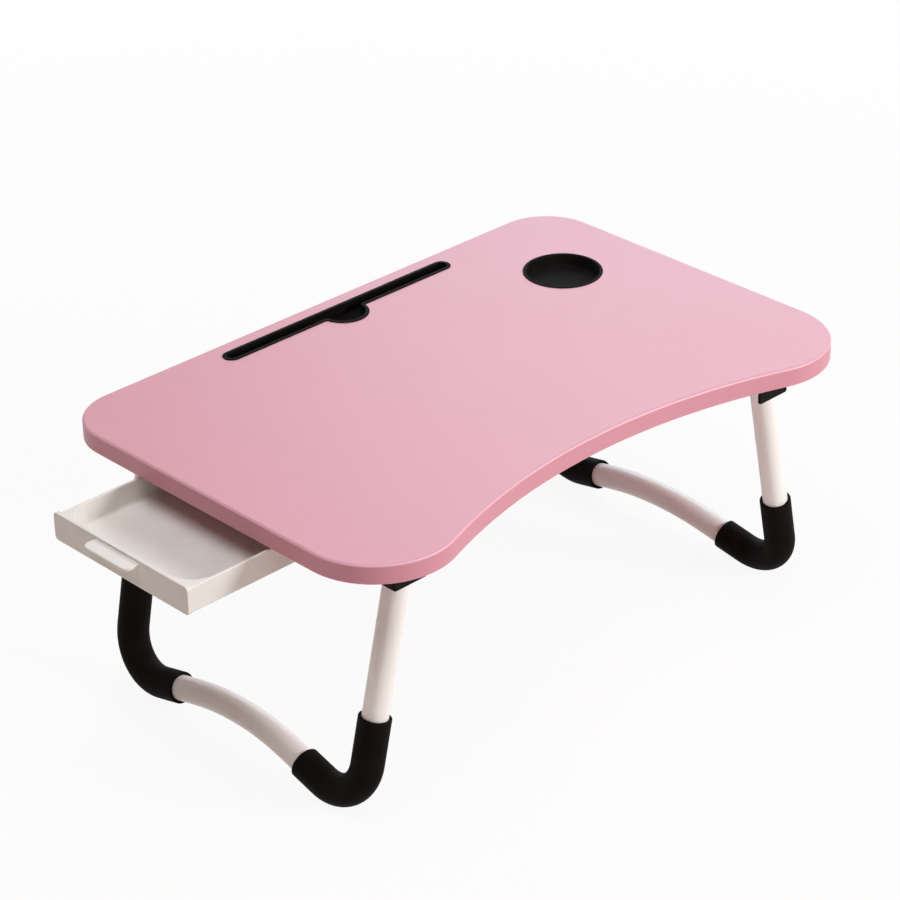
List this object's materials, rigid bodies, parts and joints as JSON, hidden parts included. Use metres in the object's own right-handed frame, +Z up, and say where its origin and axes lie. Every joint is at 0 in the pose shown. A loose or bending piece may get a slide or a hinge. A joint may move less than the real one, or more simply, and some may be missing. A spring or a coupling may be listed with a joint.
{
  "type": "laptop bed table with drawer",
  "caption": "Low folding lap table: pink board with a concave front, tablet slot, cup recess, bent tube legs that fold under the board and a small drawer that slides out at one end.",
  "frame": {"origin": "on the floor, under the middle of the whole table as it stands with its drawer part open", "axes": "+X along the board's long side towards the end with the cup recess, -Y towards the concave front edge where the user sits, +Z up"},
  "size_m": [0.7, 0.4, 0.2689],
  "materials": {
    "pink_board": "satin pink foil on fibreboard",
    "black_plastic": "fine matt moulded",
    "bracket_plastic": "matt moulded",
    "screw_steel": "zinc plated",
    "white_tube": "glossy powder coat",
    "foot_rubber": "matt soft rubber",
    "plug_plastic": "matt moulded",
    "drawer_plastic": "smooth semi-gloss"
  },
  "bodies": {
    "table": {"tabletop_board": "pink_board", "tablet_slot_insert": "black_plastic", "cup_holder_insert": "black_plastic", "hinge_bracket_left_front": "bracket_plastic", "hinge_bracket_left_rear": "bracket_plastic", "hinge_bracket_right_front": "bracket_plastic", "hinge_bracket_right_rear": "bracket_plastic", "bracket_screws": "screw_steel", "hinge_bolts_left": "screw_steel", "hinge_bolts_right": "screw_steel", "hinge_nuts_left": "screw_steel", "hinge_nuts_right": "screw_steel", "drawer_rail_front": "black_plastic", "drawer_rail_rear": "black_plastic", "rail_screws": "screw_steel"},
    "left_leg": {"left_leg_tube": "white_tube", "left_foot_sleeve_front": "foot_rubber", "left_foot_sleeve_rear": "foot_rubber", "left_pivot_plugs": "plug_plastic"},
    "right_leg": {"right_leg_tube": "white_tube", "right_foot_sleeve_front": "foot_rubber", "right_foot_sleeve_rear": "foot_rubber", "right_pivot_plugs": "plug_plastic"},
    "drawer": {"drawer_tray": "drawer_plastic", "drawer_front": "drawer_plastic", "drawer_front_screws": "screw_steel"}
  },
  "joints": [
    {"name": "left_leg_fold", "type": "hinge", "parent": "table", "child": "left_leg", "pos_m": [-0.172, 0.0114, 0.234], "axis": [0, -1, 0], "range_deg": [0, 102]},
    {"name": "right_leg_fold", "type": "hinge", "parent": "table", "child": "right_leg", "pos_m": [0.272, 0.0114, 0.234], "axis": [0, 1, 0], "range_deg": [0, 93]},
    {"name": "drawer_slide", "type": "slide", "parent": "table", "child": "drawer", "axis": [-1, 0, 0], "range_m": [-0.0872, 0.0828]}
  ]
}
